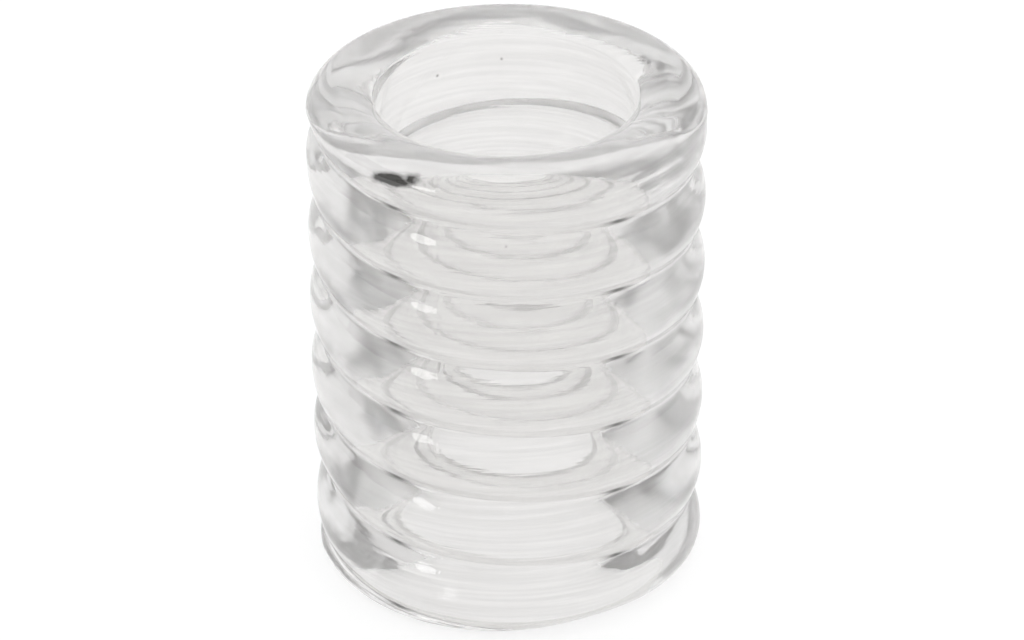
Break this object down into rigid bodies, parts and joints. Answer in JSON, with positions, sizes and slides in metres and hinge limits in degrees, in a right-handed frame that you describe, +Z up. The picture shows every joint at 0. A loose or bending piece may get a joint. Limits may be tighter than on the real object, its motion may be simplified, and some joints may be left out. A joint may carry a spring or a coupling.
{
  "type": "guitar slide",
  "caption": "Thick-walled clear glass bottleneck slide, open at both ends, with a plain round bore, rounded rims and a spiral groove that leaves rounded ribs round the outside.",
  "frame": {"origin": "middle of the lower rim, on the bore's axis", "axes": "+Z up the bore's axis, from the lower rim to the upper one; -Y is the front, and the groove starts at the back, +Y, under the upper rim"},
  "size_m": [0.029, 0.029, 0.0385],
  "materials": {
    "clear_glass": "clear, colourless, fire-polished gloss"
  },
  "bodies": {
    "root": {"glass_sleeve": "clear_glass"}
  },
  "joints": []
}
